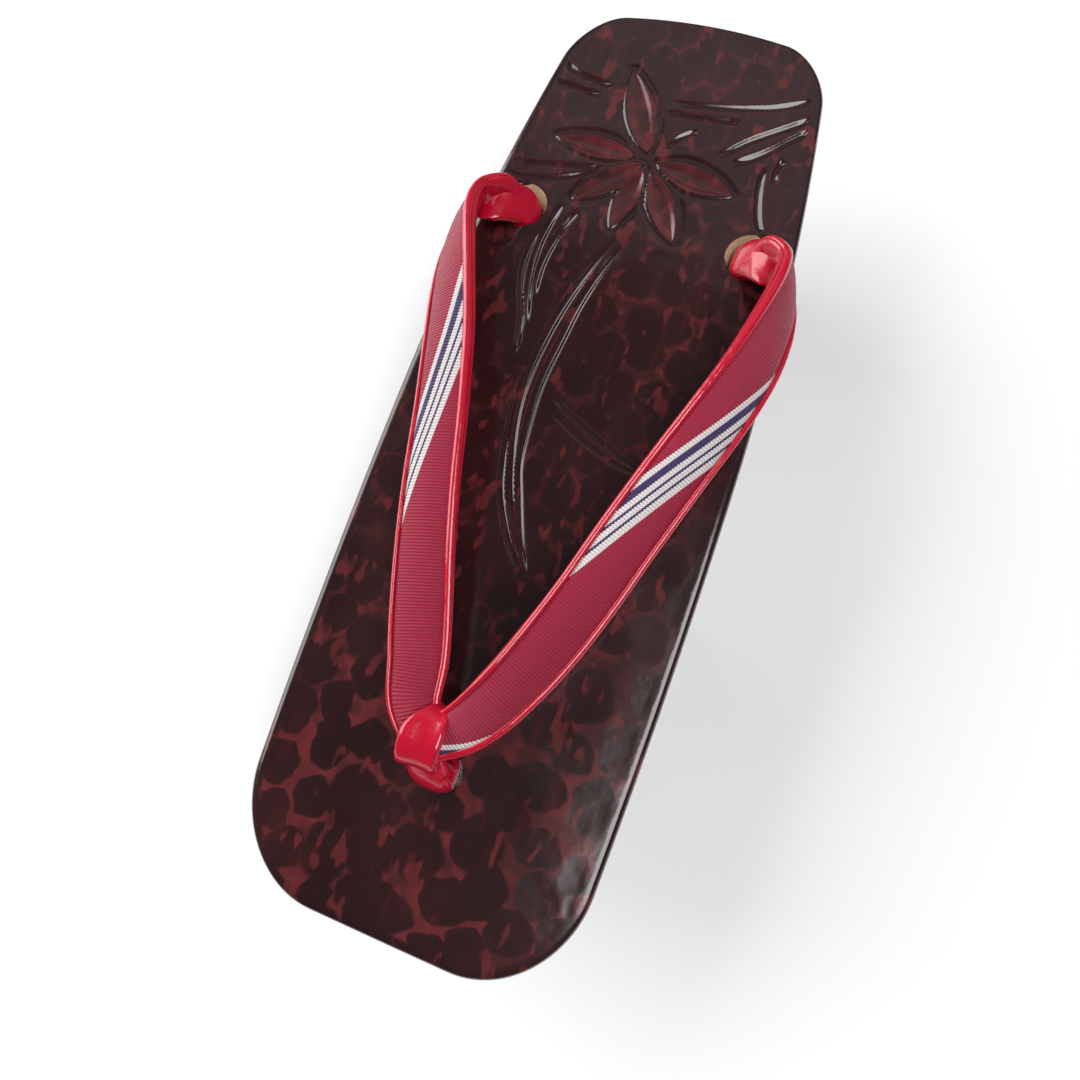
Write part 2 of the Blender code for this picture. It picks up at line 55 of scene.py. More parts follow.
CAMERA_BACK = (0.1683, -0.1571, 0.9731)
SKY_COLOUR = (0.98, 0.98, 1.0, 1.0)
SKY_STRENGTH = 0.105
PANELS = (
    # name, place, aim, width, height, watts
    ("panel_over_toe", (0.445, -0.13, 1.05), (0.05, -0.05, 0.0), 0.76, 0.60, 10.5),
    ("panel_left", (-1.20, 0.25, 0.72), (0.0, 0.0, 0.0), 1.6, 1.2, 27.0),
    ("panel_behind_heel", (0.15, 1.25, 1.15), (0.0, 0.1, 0.0), 1.5, 0.8, 1.0),
)

floor_corners = [(x * FLOOR_WIDTH / 2, y * FLOOR_WIDTH / 2, 0)
                 for x, y in ((-1, -1), (1, -1), (1, 1), (-1, 1))]
floor_mesh = bpy.data.meshes.new("floor")
floor_mesh.from_pydata(floor_corners, [], [(0, 1, 2, 3)])
floor = bpy.data.objects.new("floor", floor_mesh)
bpy.context.scene.collection.objects.link(floor)


def node(tree, kind, inputs=None, **settings):
    """A shader node with its settings and its inputs, each one a value or another node's output."""
    made = tree.nodes.new("ShaderNode" + kind)
    for name, value in settings.items():
        setattr(made, name, value)
    for name, value in (inputs or {}).items():
        if isinstance(value, bpy.types.NodeSocket):
            tree.links.new(value, made.inputs[name])
        else:
            made.inputs[name].default_value = value
    return made


def finish(name, **sockets):
    """A new material, its node tree and its shader, with the plain sockets set on the shader."""
    made = bpy.data.materials.new(name)
    made.use_nodes = True
    shader = made.node_tree.nodes["Principled BSDF"]
    for socket, value in sockets.items():
        shader.inputs[socket.replace("_", " ").title().replace("Ior", "IOR")].default_value = value
    return made, made.node_tree, shader


def feed(shader, **outputs):
    """Links the colours, masks and normals that vary over a surface to the shader's sockets."""
    for socket, output in outputs.items():
        shader.id_data.links.new(output, shader.inputs[socket.replace("_", " ").title()])


floor_paint, tree, shader = finish("floor_paint", roughness=0.9)
mottle = node(tree, "TexNoise", {"Scale": FLOOR_MOTTLE}).outputs["Fac"]
pale = node(tree, "Mix", {0: mottle, 6: FLOOR_COLOUR, 7: FLOOR_TINT}, data_type="RGBA").outputs[2]
feed(shader, base_color=pale)
floor_mesh.materials.append(floor_paint)

camera_data = bpy.data.cameras.new("camera")
camera_data.lens = LENS_MM
camera_data.sensor_width = SENSOR_MM
camera_data.sensor_fit = "HORIZONTAL"
camera_data.clip_start = CAMERA_NEAR
camera = bpy.data.objects.new("camera", camera_data)
camera_axes = Matrix((CAMERA_RIGHT, CAMERA_UP, CAMERA_BACK)).transposed()
camera.matrix_world = Matrix.Translation(CAMERA_PLACE) @ camera_axes.to_4x4()
bpy.context.scene.collection.objects.link(camera)
bpy.context.scene.camera = camera

for name, place, aim, width, height, watts in PANELS:
    lamp = bpy.data.lights.new(name, "AREA")
    lamp.shape = "RECTANGLE"
    lamp.size = width
    lamp.size_y = height
    lamp.energy = watts
    panel = bpy.data.objects.new(name, lamp)
    panel.location = place
    panel.rotation_euler = (Vector(aim) - Vector(place)).to_track_quat("-Z", "Y").to_euler()
    bpy.context.scene.collection.objects.link(panel)

sky = bpy.data.worlds.new("sky")
sky.use_nodes = True
sky.node_tree.nodes["Background"].inputs["Color"].default_value = SKY_COLOUR
sky.node_tree.nodes["Background"].inputs["Strength"].default_value = SKY_STRENGTH
bpy.context.scene.world = sky
bpy.context.scene.view_settings.view_transform = "Standard"


# The sole, or dai: one block of wood, sawn to its outline and side profile, so that both teeth
# are one piece with the board. The top is gouged and carved with a lily, then lacquered red and
# black and rubbed, so that the red shows on the ridges. The holes are bored last, and the rear ones stay
# bare.
LENGTH = 0.235
WAIST_WIDTH = 0.0835
TOE_NARROWING = 0.0078
HEEL_NARROWING = 0.0183
TOE_BOW = 0.0002
HEEL_BOW = 0.0041
TOE_CORNER = 0.024
HEEL_CORNER = 0.0144
HEIGHT = 0.050
BOARD_THICKNESS = 0.012
EDGE_ROUND = 0.0016
TOE_TO_FRONT_TOOTH = 0.0485
FRONT_TOOTH_LENGTH = 0.042
FRONT_TOOTH_RAKE = 0.010
HEEL_TO_REAR_TOOTH = 0.0315
REAR_TOOTH_LENGTH = 0.0355
TOOTH_FILLET = 0.004
FRONT_HOLE_RADIUS = 0.0042
REAR_HOLE_RADIUS = 0.0048
REAR_HOLE_MOUTH = 0.0062
MOUTH_DEPTH = 0.0035
REAR_HOLE_LEAN = 0.0104
REAR_HOLE_TOE_IN = 0.0030
TOP = HEIGHT
UNDERSIDE = HEIGHT - BOARD_THICKNESS
FRONT_HOLE = Vector((0.0008, -0.0808, TOP))
REAR_HOLE = Vector((0.0293, 0.0538, TOP))
MM = 1000.0

# The carving, in millimetres on the sole's top
FINE_PITCH = 0.30
FINE_REACH = 0.75
RIM_CLEAR = 0.9
GOUGE_DEPTH = 0.045
FAINT_DEPTH = 0.03
GOUGE_SPREAD = 1.12
GOUGE_WOBBLE = 0.32
FIELD_RED = 0.55
PETAL_DEPTH = 0.50
PETAL_BORDER = 0.26
CUT_SHARE = 0.84
CUT_SPREAD = 1.25
CUT_TAPER = 0.24
DEEPER_TOE = (30, 62)
REDDER_TOE = (50, 84)
RED_RIM = (0.86, 1.06)
FIELD_SEED = 12
FIELD_ROWS = 22
FIELD_COLUMNS = 10
FIELD_PITCH = (8.6, 9.0)
FIELD_SHIFT = (1.3, 1.6)
FIELD_START = 112.0
FIELD_GAP = 3.4
FIELD_MARK = 7.6
FIELD_END = (4, -52)
FAR_AWAY = 9.0
LILY_MIDDLE = (-2.6, 74.0)
LILY_PETALS = (
    # heading in degrees from +X, start, length, width
    (115, 2.5, 27.5, 7.6),
    (177, 4.0, 24.5, 6.2),
    (226, 2.0, 21.0, 6.8),
    (261, 3.0, 20.8, 5.8),
    (301, 4.0, 24.5, 7.0),
    (348, 3.0, 23.2, 7.4),
)
STEM_CUTS = (
    # half width, depth, then the places that the cut runs through
    (1.0, 0.75, (-3, 91.5), (10, 93), (20, 95), (26, 97), (34, 101)),
    (1.0, 0.70, (-3, 88.5), (8, 89), (17, 90)),
    (1.1, 0.85, (13, 78), (20, 85), (28, 91), (34, 95.5)),
    (1.2, 0.85, (17, 77), (24, 82), (30, 88), (35, 93)),
    (1.0, 0.75, (25.5, 79), (26, 72), (28, 64), (30.5, 60)),
    (0.9, 0.65, (29.5, 82), (28.5, 78), (29, 75)),
    (1.1, 0.70, (-34, 98), (-28, 95), (-18, 93)),
    (1.0, 0.60, (-35, 91), (-30, 91), (-20, 89.5)),
    (0.9, 0.65, (-38, 65), (-30, 66.5), (-20, 68), (-14, 69.5)),
    (0.9, 0.60, (-38, 62), (-30, 62), (-22, 64), (-13, 68)),
    (1.0, 0.80, (-19.5, 57), (-21, 50), (-21.5, 42), (-20, 32), (-17, 22)),
    (1.0, 0.75, (-15, 56), (-18, 47), (-19, 38), (-18, 30)),
    (0.9, 0.70, (-22.5, 50), (-23.5, 40), (-22, 32), (-19, 24), (-17, 13)),
    (1.1, 0.85, (-3, 52), (-6, 44), (-9, 34), (-11, 24), (-12, 14), (-12, 6), (-11, -2), (-9, -10),
     (-6, -19), (-2, -27), (0, -31)),
    (1.1, 0.85, (1, 55), (-2, 47), (-4.5, 40), (-6.5, 31), (-7.5, 22), (-8.5, 12), (-8.5, 4),
     (-7, -10), (-4, -19), (0, -29), (3, -35), (6, -40.5)),
    (0.9, 0.60, (-13, 20), (-13.5, 8), (-12, -4), (-10.5, -12), (-8, -20), (-3, -29), (1, -34), (5, -39)),
    (0.8, 0.55, (-5.5, 7.5), (0, 4), (8, 0), (15, -3), (22, -6)),
    (0.8, 0.50, (-5, 3.5), (3, -0.5), (9, -3), (15, -5), (22, -6)),
    (0.9, 0.60, (0.5, 78), (3, 82), (7, 85)),
)
TOE_GOUGES = (
    # across, along, width, length
    (-15.3, -93.0, 11.5, 12.5), (-24.5, -84.2, 8.0, 11.8), (-24.3, -96.3, 7.6, 8.6),
    (-16.6, -105.0, 10.2, 11.8), (-7.4, -92.3, 7.4, 8.0), (-7.8, -101.6, 10.2, 11.2),
    (-3.2, -111.0, 17.0, 9.0), (1.8, -98.2, 11.2, 10.4), (2.6, -88.6, 12.0, 8.4),
    (13.4, -92.4, 10.4, 11.0), (17.8, -100.4, 9.2, 10.8), (10.7, -105.0, 10.4, 9.0),
    (17.8, -111.8, 8.8, 8.0), (25.2, -105.6, 9.6, 8.6), (10.0, -114.0, 7.2, 4.6),
    (25.0, -88.4, 10.6, 7.4), (28.4, -97.0, 8.8, 8.6), (33.6, -103.4, 6.2, 7.4),
    (-31.8, -101.6, 7.8, 8.0), (16.7, -84.6, 9.6, 7.4), (21.2, -77.2, 12.0, 9.0),
    (11.5, -79.0, 9.0, 9.0), (33.6, -77.0, 9.0, 11.0), (26.0, -68.4, 9.0, 7.4),
    (-15.8, -113.4, 6.6, 6.0), (-25.6, -107.6, 8.4, 8.0), (19.0, -65.0, 10.0, 9.0),
    (25.4, -56.0, 10.5, 11.0), (-33.6, -92.0, 7.0, 9.4), (-35.0, -80.0, 8.0, 11.0),
    (-16.5, -81.0, 9.0, 8.4), (34.5, -91.0, 7.0, 8.0), (35.5, -64.0, 8.0, 12.0),
    (-8.0, -83.5, 8.5, 7.5), (36.5, -97.0, 5.0, 6.0), (-34.0, -69.0, 9.0, 10.0),
)


def sole_outline(corner_steps=24, side_steps=30, end_steps=12):
    """A rounded rectangle drawn in towards both ends and bowed at the heel."""
    half_length = LENGTH / 2
    half_width = WAIST_WIDTH / 2
    corners = (
        # centre x, centre y, radius, first angle
        (half_width - HEEL_CORNER, half_length - HEEL_CORNER, HEEL_CORNER, 0),
        (HEEL_CORNER - half_width, half_length - HEEL_CORNER, HEEL_CORNER, 90),
        (TOE_CORNER - half_width, TOE_CORNER - half_length, TOE_CORNER, 180),
        (half_width - TOE_CORNER, TOE_CORNER - half_length, TOE_CORNER, 270),
    )
    plain = []
    for index, (x, y, radius, start) in enumerate(corners):
        for step in range(corner_steps + 1):
            angle = math.radians(start + 90 * step / corner_steps)
            plain.append((x + radius * math.cos(angle), y + radius * math.sin(angle)))
        steps = end_steps if index % 2 == 0 else side_steps
        following = corners[(index + 1) % 4]
        centre_x, centre_y, reach, first = following
        turn = math.radians(first)
        last = plain[-1]
        nearest = (centre_x + reach * math.cos(turn), centre_y + reach * math.sin(turn))
        for step in range(1, steps):
            share = step / steps
            plain.append(tuple(a + (b - a) * share for a, b in zip(last, nearest)))
    outline = []
    for x, y in plain:
        share = y / half_length
        across = x / half_width
        narrowing = HEEL_NARROWING if y > 0 else TOE_NARROWING
        bow = HEEL_BOW if y > 0 else -TOE_BOW
        outline.append((x * (1 - narrowing / WAIST_WIDTH * share ** 2), y - bow * across ** 2 * abs(share)))
    return outline


def fillet(corner, before, after, radius, steps=8):
    """Points on the arc that rounds a corner between two neighbours."""
    corner = Vector(corner)
    back = (Vector(before) - corner).normalized()
    on = (Vector(after) - corner).normalized()
    half = back.angle(on) / 2
    reach = radius / math.tan(half)
    centre = corner + (back + on).normalized() * radius / math.sin(half)
    first = corner + back * reach - centre
    last = corner + on * reach - centre
    shares = (step / steps for step in range(steps + 1))
    return [tuple(centre + first.slerp(last, share).normalized() * radius) for share in shares]


def side_profile():
    """The sole seen from the side: y along the length, z up, with both teeth."""
    front = TOE_TO_FRONT_TOOTH - LENGTH / 2
    front_back = front + FRONT_TOOTH_LENGTH
    rear_back = LENGTH / 2 - HEEL_TO_REAR_TOOTH
    rear = rear_back - REAR_TOOTH_LENGTH
    above = HEIGHT + BOARD_THICKNESS
    corners = (
        # y, z, fillet
        (-LENGTH, above, 0.0),
        (-LENGTH, UNDERSIDE, 0.0),
        (front, UNDERSIDE, TOOTH_FILLET),
        (front + FRONT_TOOTH_RAKE, 0.0, EDGE_ROUND),
        (front_back, 0.0, EDGE_ROUND),
        (front_back, UNDERSIDE, TOOTH_FILLET),
        (rear, UNDERSIDE, TOOTH_FILLET / 4),
        (rear, 0.0, EDGE_ROUND),
        (rear_back, 0.0, EDGE_ROUND),
        (rear_back, UNDERSIDE, TOOTH_FILLET),
        (LENGTH, UNDERSIDE, 0.0),
        (LENGTH, above, 0.0),
    )
    points = []
    for index, (y, z, radius) in enumerate(corners):
        if radius:
            following = corners[(index + 1) % len(corners)]
            points += fillet((y, z), corners[index - 1][:2], following[:2], radius)
        else:
            points.append((y, z))
    return points


def put(name, bm):
    """The finished bmesh as an object in the scene."""
    bmesh.ops.recalc_face_normals(bm, faces=bm.faces)
    mesh = bpy.data.meshes.new(name)
    bm.to_mesh(mesh)
    bm.free()
    made = bpy.data.objects.new(name, mesh)
    bpy.context.scene.collection.objects.link(made)
    return made


def prism(name, points, low, high, corner):
    """A straight block over an outline; corner turns an outline point and a level into a place."""
    bm = bmesh.new()
    rings = [[bm.verts.new(corner(*point, level)) for point in points] for level in (low, high)]
    bm.faces.new(rings[0])
    bm.faces.new(rings[1])
    for index in range(len(points)):
        following = (index + 1) % len(points)
        bm.faces.new((rings[0][index], rings[0][following], rings[1][following], rings[1][index]))
    return put(name, bm)


def drill(name, start, end, start_radius, end_radius):
    """A drill or countersink from start to end."""
    bm = bmesh.new()
    bmesh.ops.create_cone(bm, cap_ends=True, segments=48, radius1=start_radius, radius2=end_radius,
                          depth=(end - start).length)
    turn = Vector((0, 0, 1)).rotation_difference(end - start).to_matrix().to_4x4()
    bmesh.ops.transform(bm, matrix=Matrix.Translation((start + end) / 2) @ turn, verts=bm.verts)
    return put(name, bm)


def rear_hole(side):
    """A rear hole's mouth and exit, which is nearer to the toe and to the middle."""
    mouth = Vector((side * REAR_HOLE.x, REAR_HOLE.y, TOP))
    return mouth, mouth + Vector((-side * REAR_HOLE_TOE_IN, -REAR_HOLE_LEAN, -BOARD_THICKNESS))


def sawn_block():
    """The block before carving, as a bmesh: outline, rounded rim, teeth and bored holes."""
    block = prism("block", sole_outline(), UNDERSIDE - HEIGHT, TOP, lambda x, y, z: (x, y, z))
    bm = bmesh.new()
    bm.from_mesh(block.data)
    rim = [edge for edge in bm.edges if all(abs(vert.co.z - TOP) < 1e-6 for vert in edge.verts)]
    bmesh.ops.bevel(bm, geom=rim, offset=EDGE_ROUND, segments=5, profile=0.5, affect="EDGES")
    bm.to_mesh(block.data)
    bm.free()
    saw = prism("saw", side_profile(), -WAIST_WIDTH, WAIST_WIDTH, lambda y, z, x: (x, y, z))
    tools = [("INTERSECT", saw)]
    for side in (-1, 1):
        mouth, exit_point = rear_hole(side)
        spare = (exit_point - mouth).normalized() * BOARD_THICKNESS / 2
        deep = Vector((0, 0, MOUTH_DEPTH))
        wide = 2 * REAR_HOLE_MOUTH - REAR_HOLE_RADIUS
        bit = drill("bit", mouth - spare, exit_point + spare, REAR_HOLE_RADIUS, REAR_HOLE_RADIUS)
        countersink = drill("countersink", mouth - deep, mouth + deep, REAR_HOLE_RADIUS, wide)
        tools += [("DIFFERENCE", bit), ("DIFFERENCE", countersink)]
    spare = Vector((0, 0, BOARD_THICKNESS * 1.5))
    bit = drill("bit", FRONT_HOLE - spare, FRONT_HOLE + spare, FRONT_HOLE_RADIUS, FRONT_HOLE_RADIUS)
    tools.append(("DIFFERENCE", bit))
    for operation, tool in tools:
        step = block.modifiers.new(operation, "BOOLEAN")
        step.operation = operation
        step.solver = "EXACT"
        step.object = tool
    bpy.context.view_layer.update()
    shaped = bpy.data.meshes.new_from_object(block.evaluated_get(bpy.context.evaluated_depsgraph_get()))
    for item in [block] + [tool for _, tool in tools]:
        bpy.data.objects.remove(item, do_unlink=True)
    bm = bmesh.new()
    bm.from_mesh(shaped)
    bmesh.ops.remove_doubles(bm, verts=bm.verts, dist=0.000002)
    return bm


def through(rows, steps):
    """Points on a smooth curve through the rows, which may have any number of columns."""
    ends = (rows[0], *rows, rows[-1])
    made = []
    for a, b, c, d in zip(ends, ends[1:], ends[2:], ends[3:]):
        for step in range(steps):
            t = step / steps
            made.append(tuple(
                0.5 * (2 * q + (r - p) * t + (2 * p - 5 * q + 4 * r - s) * t * t
                       + (3 * q - p - 3 * r + s) * t ** 3)
                for p, q, r, s in zip(a, b, c, d)))
    made.append(tuple(rows[-1]))
    return made


def distance_to(points, lines):
    """Each point's distance to the nearest of some segments, and which share of them that is."""
    nearest = np.full(len(points), 1e9)
    share = np.zeros(len(points))
    for index, (start, end) in enumerate(lines):
        way = np.subtract(end, start)
        t = np.clip(((points - start) @ way) / max(way @ way, 1e-12), 0, 1)
        gap = np.hypot(*(points - start - t[:, None] * way).T)
        closer = gap < nearest
        nearest[closer] = gap[closer]
        share[closer] = (index + t[closer]) / len(lines)
    return nearest, share


def within(points, lines):
    """Which points are inside the outline and outside of the holes."""
    inside = np.zeros(len(points), bool)
    for (x1, y1), (x2, y2) in lines:
        crosses = (y1 > points[:, 1]) != (y2 > points[:, 1])
        if y1 != y2:
            inside ^= crosses & (points[:, 0] < (x2 - x1) * (points[:, 1] - y1) / (y2 - y1) + x1)
    return inside


def rise(value, low, high):
    """Nothing below low, one above high, and a smooth climb between them."""
    t = np.clip((value - low) / (high - low), 0, 1)
    return t * t * (3 - 2 * t)


def gouge_places():
    """The toe's gouge marks, and a field of shallower ones over the rest of the top."""
    marks = random.Random(FIELD_SEED)
    made = list(TOE_GOUGES)
    shift_x, shift_y = FIELD_SHIFT
    for row in range(FIELD_ROWS):
        for column in range(FIELD_COLUMNS):
            across = column - (FIELD_COLUMNS - 1) / 2 + row % 2 / 2
            x = across * FIELD_PITCH[0] + marks.uniform(-shift_x, shift_x)
            y = FIELD_START - row * FIELD_PITCH[1] + marks.uniform(-shift_y, shift_y)
            size = FIELD_MARK * marks.uniform(0.92, 1.12)
            stretch = marks.uniform(1.05, 1.3)
            clear = all(math.hypot(x - a, y - b) > (c + d) / 4 + FIELD_GAP for a, b, c, d in TOE_GOUGES)
            if clear and (x < FIELD_END[0] or y > FIELD_END[1]):
                made.append((x, y, size, size * stretch))
    return made


def gouged(x, y):
    """The depth of the gouge marks, and how far the red shows on the ridges between them."""
    wavy_x = x + GOUGE_WOBBLE * (np.sin(y * 0.93 + 1.7) + 0.5 * np.sin(y * 1.7 + x))
    wavy_y = y + GOUGE_WOBBLE * (np.sin(x * 0.87 + 0.4) + 0.5 * np.sin(x * 1.6 - y))
    reach = np.full(len(x), FAR_AWAY)
    for a, b, width, length in gouge_places():
        reach = np.minimum(reach, np.hypot((wavy_x - a) / width, (wavy_y - b) / length) * 2 / GOUGE_SPREAD)
    toe = rise(-y, *DEEPER_TOE)
    depth = (GOUGE_DEPTH * toe + FAINT_DEPTH * (1 - toe)) * np.clip(1 - reach ** 2, 0, 1)
    return depth, rise(reach, *RED_RIM) * (FIELD_RED + (1 - FIELD_RED) * rise(-y, *REDDER_TOE))


def carve(points, rim_gap):
    """At each point: the cut's depth, how far the red shows, and the gap to the nearest carved edge."""
    x, y = points.T
    depth, red = gouged(x, y)
    flower = np.zeros(len(points), bool)
    step_down = np.zeros(len(points))
    carved_gap = np.full(len(points), FAR_AWAY)
    for heading, start, length, width in LILY_PETALS:
        turn = math.radians(heading)
        along = (x - LILY_MIDDLE[0]) * math.cos(turn) + (y - LILY_MIDDLE[1]) * math.sin(turn)
        across = (y - LILY_MIDDLE[1]) * math.cos(turn) - (x - LILY_MIDDLE[0]) * math.sin(turn)
        share = np.clip((along - start) / (length - start), 0, 1)
        half = np.maximum(width / 2 * np.sin(math.pi * share ** 0.9) ** 0.8, 1e-3)
        edge = 1 - np.abs(across) / half
        inside = (edge > 0) & (share > 0) & (share < 1)
        dish = rise(edge, 0.0, 0.8) * np.sin(math.pi * share) ** 0.5
        depth = np.where(inside, PETAL_DEPTH * dish, depth)
        red = np.where(inside, rise(edge, 0.0, 0.15) * (1 - 0.45 * rise(edge, 0.4, 0.8)), red)
        flower |= inside
        beyond = np.maximum(np.maximum(start - along, along - length), 0)
        outside = np.hypot(np.maximum(np.abs(across) - half, 0), beyond)
        valley = rise(outside, 0.0, 0.9) * (1 - rise(outside, 0.9, 2.6))
        step_down = np.maximum(step_down, PETAL_BORDER * valley)
        carved_gap = np.minimum(carved_gap, np.abs(outside - np.where(inside, edge * half, 0)))
    depth = np.where(flower, depth, np.maximum(depth, step_down))
    red = np.where(~flower & (step_down > 0.04), red * 0.3, red)
    for half_width, cut, *places in STEM_CUTS:
        line = np.array(through(places, 6))
        gap, share = distance_to(points, list(zip(line, line[1:])))
        wide = gap / half_width
        taper = rise(np.minimum(share, 1 - share), 0.0, CUT_TAPER)
        bowl = np.clip(1 - (wide / CUT_SPREAD) ** 2, 0, 1) ** 2
        depth = np.maximum(depth, CUT_SHARE * cut * taper * bowl)
        lip = rise(wide, 0.6, 1.1) * (1 - rise(wide, 1.1, 1.8))
        red = np.where(wide < 1.9, np.maximum(red * 0.3, 0.62 * taper * lip), red)
        carved_gap = np.minimum(carved_gap, np.maximum(gap - half_width, 0))
    return depth * rise(rim_gap, 0.7, 2.4), red * rise(rim_gap, 0.3, 1.5), carved_gap


def carve_top(bm):
    """The flat top is taken off and made again as a fine net that dips where it is carved."""
    level = [face for face in bm.faces if face.normal.z > 0.999]
    flat = [face for face in level if abs(face.calc_center_median().z - TOP) < 1e-5]
    bmesh.ops.delete(bm, geom=flat, context="FACES")
    bm.verts.ensure_lookup_table()
    border = [edge for edge in bm.edges if edge.is_boundary]
    corners = sorted({vert.index for edge in border for vert in edge.verts})
    number = {index: place for place, index in enumerate(corners)}
    flat_corners = np.array([bm.verts[index].co.xy for index in corners]) * MM
    links = [tuple(number[vert.index] for vert in edge.verts) for edge in border]
    lines = [(flat_corners[a], flat_corners[b]) for a, b in links]
    low = flat_corners.min(0)
    high = flat_corners.max(0)
    row_gap = FINE_PITCH * math.sqrt(3) / 2
    rows = int((high[1] - low[1]) / row_gap) + 1
    columns = int((high[0] - low[0]) / FINE_PITCH) + 1
    row, column = np.mgrid[0:rows, 0:columns]
    coarse = ((row % 2 == 0) & (column % 2 == row // 2 % 2)).ravel()
    across = low[0] + (column + row % 2 / 2) * FINE_PITCH
    net = np.stack((across, low[1] + row * row_gap), -1).reshape(-1, 2)
    kept = within(net, lines)
    net, coarse = net[kept], coarse[kept]
    rim_gap, _ = distance_to(net, lines)
    depth, red, carved_gap = carve(net, rim_gap)
    fine = (carved_gap < FINE_REACH) & (rim_gap > RIM_CLEAR)
    kept = (coarse & (rim_gap > FINE_PITCH * 1.1)) | fine
    net, depth, red = net[kept], depth[kept], red[kept]
    places = np.vstack((flat_corners, net))
    found, _, faces, sources, _, _ = geometry.delaunay_2d_cdt(
        [Vector(place) for place in places], links, [], 0, 1e-7)
    shown = bm.verts.layers.float.new("red_shown")
    verts = []
    for place, source in zip(found, sources):
        index = source[0]
        if index < len(corners):
            verts.append(bm.verts[corners[index]])
        else:
            index -= len(corners)
            vert = bm.verts.new((place.x / MM, place.y / MM, TOP - depth[index] / MM))
            vert[shown] = red[index]
            verts.append(vert)
    middles = np.array([np.mean([found[index] for index in face], axis=0) for face in faces])
    for face, inside in zip(faces, within(middles, lines)):
        if inside:
            bm.faces.new([verts[index] for index in face])


# Bare wood shows in the rear holes, from this share of the board's thickness down
BARE_FROM = 0.09
BARE_REACH = REAR_HOLE_MOUTH * 1.5

sole_bmesh = sawn_block()
carve_top(sole_bmesh)
sole_bmesh.normal_update()
for face in sole_bmesh.faces:
    middle = face.calc_center_median()
    for mouth, exit_point in (rear_hole(-1), rear_hole(1)):
        share = (mouth.z - middle.z) / BOARD_THICKNESS
        if BARE_FROM < share < 1.0 and abs(face.normal.z) < 0.9:
            reach = (middle - mouth.lerp(exit_point, share)).xy.length
            if reach < BARE_REACH:
                face.material_index = 1
sole = put("carved_sole", sole_bmesh)
sole.data.shade_smooth()
sole.data.set_sharp_from_angle(angle=math.radians(50))


def maths(tree, operation, first, second=0.0):
    return node(tree, "Math", {0: first, 1: second}, operation=operation).outputs[0]


def mixed(tree, share, first, second):
    return node(tree, "Mix", {0: share, 6: first, 7: second}, data_type="RGBA").outputs[2]


def between(tree, value, low, high):
    return node(tree, "MapRange", {"Value": value, "From Min": low, "From Max": high},
                interpolation_type="SMOOTHSTEP").outputs[0]


def noise(tree, vector, scale, detail=2.0):
    return node(tree, "TexNoise", {"Vector": vector, "Scale": scale, "Detail": detail}).outputs["Fac"]


def scaled(tree, value, by, plus):
    return maths(tree, "ADD", maths(tree, "MULTIPLY", value, by), plus)


def stretched(tree, vector, scale):
    return node(tree, "Mapping", {"Vector": vector, "Scale": scale}).outputs[0]


# The slow ripple that hand-brushed lacquer and drawn vinyl both have
ripple = bpy.data.node_groups.new("surface_ripple", "ShaderNodeTree")
for socket, kind, way in (("Vector", "NodeSocketVector", "INPUT"), ("Scale", "NodeSocketFloat", "INPUT"),
                          ("Depth", "NodeSocketFloat", "INPUT"), ("Normal", "NodeSocketVector", "OUTPUT")):
    ripple.interface.new_socket(name=socket, in_out=way, socket_type=kind)
ripple_in = ripple.nodes.new("NodeGroupInput")
ripple_out = ripple.nodes.new("NodeGroupOutput")
waves = noise(ripple, ripple_in.outputs["Vector"], ripple_in.outputs["Scale"])
ripple_bump = node(ripple, "Bump", {"Height": waves, "Distance": ripple_in.outputs["Depth"],
                                    "Strength": 1.0})
ripple.links.new(ripple_bump.outputs["Normal"], ripple_out.inputs["Normal"])

# Colours are linear and scales are in waves to the metre
BLACK_COAT = (0.0060, 0.0018, 0.0020, 1.0)
BROWN_COAT = (0.036, 0.0100, 0.0115, 1.0)
GRAIN_RED = (0.12, 0.012, 0.014, 1.0)
THIN_COAT = (0.060, 0.014, 0.016, 1.0)
DEEP_RED = (0.050, 0.009, 0.010, 1.0)
RUBBED_RED = (0.140, 0.020, 0.024, 1.0)
FLECK_SCALE = (330.0, 150.0, 330.0)
GRAIN_SCALE = (300.0, 42.0, 640.0)
PORE_SCALE = (2300.0, 420.0, 1500.0)
PORE_DEPTH = 0.0003
WOOD_DARK = (0.26, 0.17, 0.095, 1.0)
WOOD_PALE = (0.68, 0.51, 0.32, 1.0)
BRUSHED = {"Scale": 210.0, "Depth": 0.00006}

lacquer, tree, shader = finish("rubbed_lacquer", coat_weight=0.45, coat_roughness=0.12, ior=1.45)
place = node(tree, "TexCoord").outputs["Object"]
shown = node(tree, "Attribute", attribute_name="red_shown").outputs["Fac"]
tear = maths(tree, "SUBTRACT", noise(tree, place, 420.0, 3.0), 0.5)
ragged = maths(tree, "ADD", shown, maths(tree, "MULTIPLY", tear, 0.9))
patchy = between(tree, noise(tree, place, 130.0), 0.38, 0.60)
rubbed = maths(tree, "MULTIPLY", between(tree, ragged, 0.40, 0.78), scaled(tree, patchy, 0.85, 0.15))
flecks = between(tree, noise(tree, stretched(tree, place, FLECK_SCALE), 1.0, 1.0), 0.61, 0.71)
rubbed = maths(tree, "MAXIMUM", rubbed, maths(tree, "MULTIPLY", flecks, 0.85))
streak = between(tree, noise(tree, stretched(tree, place, GRAIN_SCALE), 1.0, 3.0), 0.56, 0.75)
brown = mixed(tree, noise(tree, place, 45.0, 3.0), BLACK_COAT, BROWN_COAT)
brown = mixed(tree, maths(tree, "MULTIPLY", streak, 0.22), brown, GRAIN_RED)
brown = mixed(tree, maths(tree, "MULTIPLY", shown, 0.55), brown, THIN_COAT)
red = mixed(tree, noise(tree, place, 260.0), DEEP_RED, RUBBED_RED)
